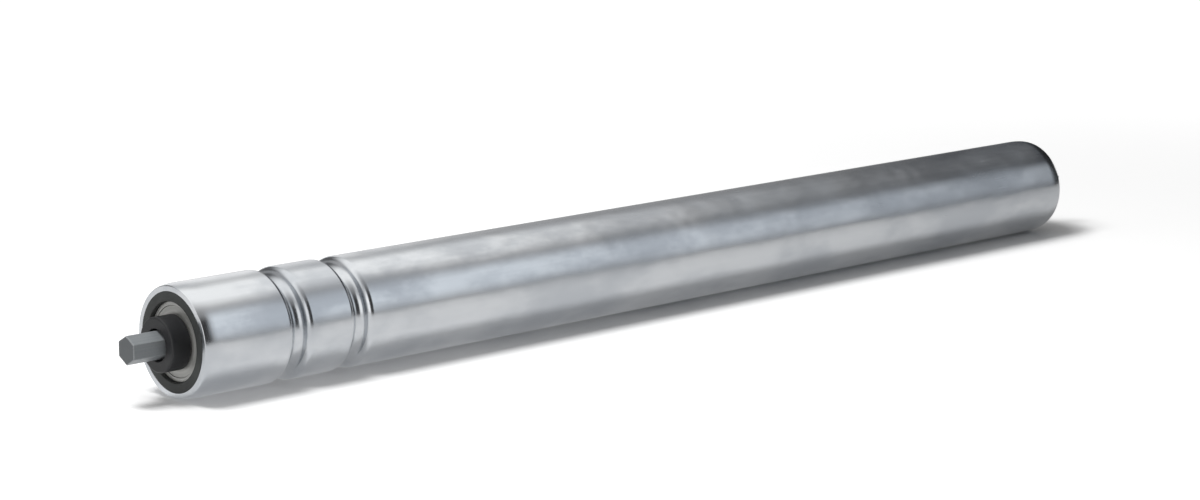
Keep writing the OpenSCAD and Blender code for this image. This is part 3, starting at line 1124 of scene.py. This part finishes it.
@dataclass
class Bearing:
    """The shown parts of the ball bearing: its outer ring and its front shield."""

    side: Side
    recess: float = 2.0
    width: float = 11.0
    outer_r: float = 17.5
    chamfer: float = 0.5
    land_r: float = 14.355
    race_r: float = 3.094
    race_centre_r: float = 12.411
    shield_r: float = 15.655
    shield_bore_r: float = 10.895
    shield_sheet: float = 0.35
    shield_lip: float = 0.8
    shield_depth: float = 0.3
    shield_play: float = 0.02
    shield_bend: float = 0.05
    facets: int = 192

    def place(self, z: float) -> float:
        """Gives X in metres at a distance z behind the bearing's front face."""
        return TubeEnd(self.side).x(self.recess + z)

    def ring_outline(self) -> Outline:
        """Draws the outer ring's section, with its raceway and both shield seats.

        Returns:
            The closed outline.
        """
        seat = self.shield_depth + self.shield_lip
        half = math.sqrt(self.race_r ** 2 - (self.land_r - self.race_centre_r) ** 2)
        turn = math.degrees(math.asin(half / self.race_r))
        soft = self.chamfer / 4
        path = Outline()
        path.arc(soft, self.shield_r + soft, soft, 270, 180)
        path.arc(self.chamfer, self.outer_r - self.chamfer, self.chamfer, 180, 90)
        path.arc(self.width - self.chamfer, self.outer_r - self.chamfer, self.chamfer, 90, 0)
        path.arc(self.width - soft, self.shield_r + soft, soft, 0, -90)
        path.to(self.width - seat, self.shield_r).to(self.width - seat, self.land_r)
        path.arc(self.width / 2, self.race_centre_r, self.race_r, 90 - turn, 90 + turn)
        path.to(seat, self.land_r).to(seat, self.shield_r)
        return path

    def shield_outline(self) -> Outline:
        """Draws the pressed shield: a curled rim, a stepped flat and a turned-in lip.

        Returns:
            The closed outline.
        """
        rim = self.shield_r - self.shield_play
        front = self.shield_depth
        back = front + self.shield_lip
        sheet = self.shield_sheet
        bend = sheet + self.shield_bend
        path = Outline()
        path.to(back, self.shield_bore_r)
        path.arc(front + bend, self.shield_bore_r + bend, bend, 270, 180)
        path.arc(front + bend, rim - bend, bend, 180, 90)
        path.to(back, rim).to(back, rim - sheet)
        path.to(front + sheet, rim - sheet).to(front + sheet, self.shield_bore_r + sheet)
        path.to(back, self.shield_bore_r + sheet)
        return path

    def build(self) -> list[bpy.types.Object]:
        """Builds and dresses the outer ring and the front shield.

        Returns:
            Both pieces, riding on the roller.
        """
        word = self.side.word
        ring = turned(f"{word}_ground_outer_ring", self.ring_outline(), self.place, self.facets)
        RING_STEEL.dress(ring)
        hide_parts(f"{word}_outer_ring")
        shield = turned(f"{word}_pressed_front_shield", self.shield_outline(), self.place, self.facets)
        SHIELD_STEEL.dress(shield)
        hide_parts(f"{word}_front_shield")
        return [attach(piece, Body.ROLLER.value) for piece in (ring, shield)]


@dataclass
class Bush:
    """The plastic bush that carries the bearing's inner ring and slides on the hexagon bar."""

    side: Side
    radius: float = 12.0
    reach: float = 8.0
    edge: float = 0.9
    hole_r: float = 7.1
    hole_depth: float = 5.0
    hole_edge: float = 0.3
    skirt: float = 1.6
    foot_r: float = 9.3
    recess: float = 2.0
    spigot_r: float = 7.48
    back: float = 14.0
    flat_r: float = 5.65
    facets: int = 192

    def outline(self) -> Outline:
        """Draws the bush's section, with a round mouth and a hexagon bore behind it.

        Returns:
            The closed outline.
        """
        front = -self.reach
        small = self.hole_edge
        floor = front + self.hole_depth
        path = Outline()
        path.arc(front + small, self.hole_r + small, small, 270, 180)
        path.arc(front + self.edge, self.radius - self.edge, self.edge, 180, 90)
        path.arc(self.skirt - small, self.radius - small, small, 90, 0)
        path.to(self.skirt, self.foot_r).to(self.recess, self.foot_r).to(self.recess, self.spigot_r)
        path.to(self.back - small, self.spigot_r).to(self.back, self.spigot_r - small)
        path.to(self.back, self.flat_r, HEXAGON).to(floor, self.flat_r, HEXAGON)
        path.to(floor, self.hole_r)
        return path

    def build(self) -> bpy.types.Object:
        """Builds and dresses the bush.

        Returns:
            The bush, riding on the bushes' body.
        """
        piece = turned(f"{self.side.word}_moulded_bush", self.outline(), TubeEnd(self.side).x, self.facets)
        BUSH_PLASTIC.dress(piece)
        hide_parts(f"{self.side.word}_bush")
        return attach(piece, Body.BUSHES.value)


@dataclass
class Spring:
    """The compression spring on the shaft, with closed and ground ends."""

    wire: float = 1.4
    working_turns: int = 8
    closed_gap: float = 0.04
    stroke: float = 15.0
    steps: int = 36
    wire_sides: int = 14

    def along(self, turn: float, length: float) -> float:
        """Gives the wire's place along the spring.

        Args:
            turn: Turns from the spring's start.
            length: Length of the spring.

        Returns:
            The distance from the start, in millimetres.
        """
        closed = self.wire + self.closed_gap
        open_pitch = (length - self.wire - 2 * closed) / self.working_turns
        last = turn - 1 - self.working_turns
        working = min(max(turn - 1, 0), self.working_turns)
        return self.wire / 2 + min(turn, 1) * closed + working * open_pitch + max(last, 0) * closed

    def build(self) -> bpy.types.Object:
        """Builds the spring.

        Returns:
            The spring, riding on the shaft.
        """
        low, high = node_box("spring")
        length = (high.x - low.x) / MM
        mean = high.z / MM - self.wire / 2
        rings = []
        for k in range((self.working_turns + 2) * self.steps + 1):
            turn = k / self.steps
            middle = self.along(turn, length)
            ring = []
            for j in range(self.wire_sides):
                angle = 2 * math.pi * j / self.wire_sides
                along = middle + math.sin(angle) * self.wire / 2
                reach = mean + math.cos(angle) * self.wire / 2
                x = high.x - min(max(along, 0.0), length) * MM
                ring.append(round_the_axis(x, reach, 2 * math.pi * turn))
            rings.append(ring)
        piece = skinned("wound_spring", rings)
        WIRE_STEEL.dress(piece)
        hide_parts("spring")
        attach(piece, Body.SHAFT.value)
        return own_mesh(piece)


@dataclass
class InnerParts:
    """The CAD nodes that stay as they are and only get their finish."""

    finishes: dict[str, Finish] = field(default_factory=lambda: {
        "inner_ring": RING_STEEL,
        "balls": BALL_STEEL,
        "cage_front": CAGE_STEEL,
        "cage_rear": CAGE_STEEL,
        "cage_rivets": CAGE_STEEL,
        "rear_shield": SHIELD_STEEL,
        "washer": WASHER_ZINC,
        "clip": CLIP_STEEL,
    })

    def build(self) -> list[str]:
        """Dresses every CAD node that still shows.

        Returns:
            The names of the dressed nodes.
        """
        dressed = []
        for name, node in sorted(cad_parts.items()):
            if node.hide_render:
                continue
            finish = next(f for ending, f in self.finishes.items() if name.endswith(ending))
            for place in node.material_slots:
                place.material = finish.material()
            dressed.append(name)
        return dressed


# ---- Studio ----


# Half a turn and X of a direction that reach past all there are, so that a panel has no edge there.
ALL_ROUND = 400
PAST_LEFT = -1.5
PAST_RIGHT = 1.5


@dataclass(frozen=True)
class SoftPanel:
    """A soft light or a dark flag, as a patch of directions round the roller.

    turn, half_turn and feather are angles round X in degrees, and turn is counted from straight up toward
    the front. along and fade are in the X of a direction.
    """

    turn: float
    half_turn: float
    feather: float
    along: tuple[float, float]
    fade: float
    light: Colour

    def mask(self, write: NodeWriter, turn: Value, along: Value) -> bpy.types.NodeSocket:
        """Writes the share of the panel's light in a direction.

        Args:
            write: Writer of the world's tree.
            turn: The direction's angle round X, in degrees.
            along: The direction's X.

        Returns:
            The mask from 0 to 1.
        """
        off = write.math("ABSOLUTE", write.math("SUBTRACT", turn, self.turn))
        round_it = write.span(off, self.half_turn + self.feather, self.half_turn - self.feather, smooth=True)
        low, high = self.along
        from_low = write.span(along, low - self.fade, low + self.fade, smooth=True)
        to_high = write.span(along, high + self.fade, high - self.fade, smooth=True)
        return write.math("MULTIPLY", round_it, write.math("MULTIPLY", from_low, to_high))


@dataclass
class Studio:
    """Floor, surrounding light, lamp and camera, in metres and degrees.

    A glow is a strength of the floor's own light. It grows between near_edge's or far_edge's two distances
    from the tube's axis, and where it falls off toward the tube it paints the shadow's outer edge. Right
    under the tube it is least_glow, painted light that lifts the shadow, at the left end and from the
    middle on, or painted_underside_glow where metal mirrors it, painted light that brightens the tube's
    underside, at the left and the right end. The painted shadow edge lies near_lift short of the tube's left
    end. dim is the share of the panels' light that reaches what isn't a mirror.
    """

    room: Colour = (0.044, 0.05, 0.06)
    panels: tuple[SoftPanel, ...] = (
        # The grey upper half of the room, and two dark flags in it, at the front and the back.
        SoftPanel(0, 97, 6, (PAST_LEFT, 0.727), 0.062, (0.38, 0.38, 0.382)),
        SoftPanel(70, 28, 10, (-0.46, 0.46), 0.06, (0.05, 0.05, 0.051)),
        SoftPanel(-64, 12, 8, (-0.5, 0.28), 0.06, (0.12, 0.12, 0.122)),
        # The left end wall, brighter in front, where the groove walls and the rims mirror it.
        SoftPanel(0, ALL_ROUND, 5, (PAST_LEFT, -0.6), 0.12, (0.6, 0.6, 0.6)),
        SoftPanel(70, 30, 12, (-0.92, -0.47), 0.05, (1.4, 1.4, 1.4)),
        # The lights low at the back and overhead, which pale the tube's upper side toward its left end.
        SoftPanel(-83, 30, 14, (0.3, 0.621), 0.03, (1.06, 1.06, 1.06)),
        SoftPanel(-14, 29, 18, (-0.9, 0.675), 0.03, (1.3, 1.3, 1.29)),
        # The bluish light in front, weaker toward the right end.
        SoftPanel(58, 25, 16, (0.72, PAST_RIGHT), 0.17, (0.503, 0.54, 0.583)),
        SoftPanel(58, 25, 16, (0.47, 0.72), 0.12, (1.0, 1.06, 1.125)),
        # The right end wall: black round its edge, white in the middle, with a dark flag in front.
        SoftPanel(20, 84, 10, (0.805, PAST_RIGHT), 0.022, (0.02, 0.02, 0.021)),
        SoftPanel(0, ALL_ROUND, 5, (0.96, PAST_RIGHT), 0.012, (0.9, 0.9, 0.9)),
        SoftPanel(66, 32, 8, (0.9, PAST_RIGHT), 0.02, (0.02, 0.02, 0.021)),
    )
    dim: float = 0.5
    floor_reach: float = 40.0
    floor_colour: Colour = (0.9, 0.9, 0.9)
    floor_roughness: float = 0.9
    # Painted light that lifts the tube's shadow right under it, at the left end and from the middle on.
    least_glow: tuple[float, float] = (0.12, 0.0)
    # Moves the painted shadow edge in from the tube's left end.
    near_lift: float = 0.015
    floor_glow: float = 0.4
    far_glow: float = 0.3
    mirrored_glow: float = 0.09
    # Painted light under the tube that only metal mirrors, brightening the tube's underside toward its left
    # end.
    painted_underside_glow: tuple[float, float] = (0.3, 0.04)
    # Distances over which the glow falls off toward the tube, painting the shadow's outer edge.
    near_edge: tuple[float, float] = (0.022, 0.043)
    far_edge: tuple[float, float] = (0.08, 0.9)
    lamp_place: tuple[float, float, float] = (-0.45, 0.09, 0.85)
    lamp_size: float = 0.33
    lamp_power: float = 5.2
    camera_place: tuple[float, float, float] = (-0.9813, -1.0037, 0.2752)
    camera_turn: tuple[float, float, float] = (78.97, 0.0, -43.25)
    lens: float = 88.13

    def surround(self) -> None:
        """Builds the world: a dim room with soft panels in it, each faded at its edges."""
        world = bpy.data.worlds.new("studio")
        bpy.context.scene.world = world
        write = blank(world)
        way = write.add("SeparateXYZ", {0: write.add("TexCoord").outputs["Generated"]})
        front = write.math("MULTIPLY", way.outputs[1], -1.0)
        turn = write.math("DEGREES", write.math("ARCTAN2", front, way.outputs[2]))
        light = write.add("RGB").outputs[0]
        light.default_value = opaque(self.room)
        for panel in self.panels:
            light = write.blend(panel.mask(write, turn, way.outputs[0]), light, panel.light)
        camera, mirrored = write.rays()
        seen = write.blend(camera, light, (1.0, 1.0, 1.0))
        strength = write.span(write.math("MAXIMUM", camera, mirrored), 0.0, 1.0, (self.dim, 1.0))
        back = write.add("Background", {"Color": seen, "Strength": strength})
        write.add("OutputWorld", {"Surface": back.outputs[0]})

    def glow(self, write: NodeWriter) -> bpy.types.NodeSocket:
        """Writes the floor's own glow, which makes a white ground and paints part of the tube's shadow: it
        falls off toward the tube, lifts the shadow with painted light toward the left end, and lays painted
        light under the tube that only metal mirrors.

        Args:
            write: Writer of the floor's material.

        Returns:
            A strength for what the camera sees, and a lower one for what metal mirrors.
        """
        place = write.add("SeparateXYZ", {0: write.add("TexCoord").outputs["Object"]}).outputs
        half = node_box("tube")[1].x
        # Moves the painted shadow edge inward at the tube's left end.
        shift = self.near_lift / 2
        from_middle = write.math("ABSOLUTE", write.math("SUBTRACT", place[0], shift))
        past_end = write.math("SUBTRACT", from_middle, half - shift)
        along = write.math("POWER", write.math("MAXIMUM", past_end, 0.0), 2.0)
        distance = write.math("SQRT", write.math("ADD", along, write.math("POWER", place[1], 2.0)))
        # Painted light that lifts the shadow right under the tube, most at the left end.
        least = write.span(place[0], -half, 0.0, self.least_glow)
        # The glow falls off toward the tube, so the shadow's outer edge is painted.
        near = write.span(distance, *self.near_edge, (least, self.floor_glow), smooth=True)
        far = write.span(distance, *self.far_edge, (0.0, self.far_glow), smooth=True)
        # Painted light under the tube that only metal mirrors: it brightens the tube's underside, most at
        # the left end.
        under = write.span(place[0], -half, half, self.painted_underside_glow)
        mirrored = write.span(distance, *self.near_edge, (under, self.mirrored_glow), smooth=True)
        camera, reflected = write.rays()
        seen = write.math("MULTIPLY", camera, write.math("ADD", near, far))
        return write.math("MAXIMUM", seen, write.math("MULTIPLY", reflected, mirrored))

    def floor(self) -> bpy.types.Object:
        """Builds the pale floor under the tube.

        Returns:
            The floor.
        """
        level = cad_box[0].z
        shape = bmesh.new()
        reach = self.floor_reach
        corners = [(-reach, -reach), (reach, -reach), (reach, reach), (-reach, reach)]
        shape.faces.new([shape.verts.new((x, y, level)) for x, y in corners])
        mesh = bpy.data.meshes.new("floor")
        shape.to_mesh(mesh)
        shape.free()
        floor = placed("floor", mesh)
        made = bpy.data.materials.new("pale_floor")
        write = blank(made)
        shader = write.add("BsdfPrincipled", {
            "Base Color": opaque(self.floor_colour),
            "Roughness": self.floor_roughness,
            "Specular IOR Level": 0.0,
            "Emission Color": (1.0, 1.0, 1.0, 1.0),
            "Emission Strength": self.glow(write),
        })
        write.add("OutputMaterial", {"Surface": shader.outputs[0]})
        mesh.materials.append(made)
        return floor

    def lamp(self) -> bpy.types.Object:
        """Hangs one large soft lamp over the roller's near end, which metal doesn't mirror.

        Returns:
            The lamp.
        """
        light = bpy.data.lights.new("overhead_lamp", "AREA")
        light.shape = "SQUARE"
        light.size = self.lamp_size
        light.energy = self.lamp_power
        lamp = placed("overhead_lamp", light)
        lamp.location = self.lamp_place
        lamp.rotation_euler = (-Vector(self.lamp_place)).to_track_quat("-Z", "Y").to_euler()
        lamp.visible_glossy = False
        return lamp

    def camera(self) -> bpy.types.Object:
        """Sets up the camera.

        Returns:
            The camera, made the scene's own.
        """
        data = bpy.data.cameras.new("camera")
        data.lens = self.lens
        camera = placed("camera", data)
        camera.location = self.camera_place
        camera.rotation_euler = tuple(math.radians(a) for a in self.camera_turn)
        bpy.context.scene.camera = camera
        return camera

    def build(self) -> None:
        """Builds the whole studio and sets the plain view transform."""
        bpy.context.scene.view_settings.view_transform = "Standard"
        self.camera()
        self.surround()
        self.lamp()
        self.floor()


def main() -> None:
    """Builds the studio and every piece in order, and reports each through logging."""
    logging.basicConfig(level=logging.INFO, format="%(name)s: %(message)s")
    Studio().build()
    LOG.info("studio: floor, surround, lamp and camera")
    pieces = [Tube().build(), Shaft().build(), Spring().build()]
    for side in Side:
        pieces += [BearingSeat(side).build(), *Bearing(side).build(), Bush(side).build()]
    for piece in pieces:
        LOG.info("%s: %d faces", piece.name, len(piece.data.polygons))
    LOG.info("kept from the frame: %s", ", ".join(InnerParts().build()))


if __name__ == "__main__":
    main()
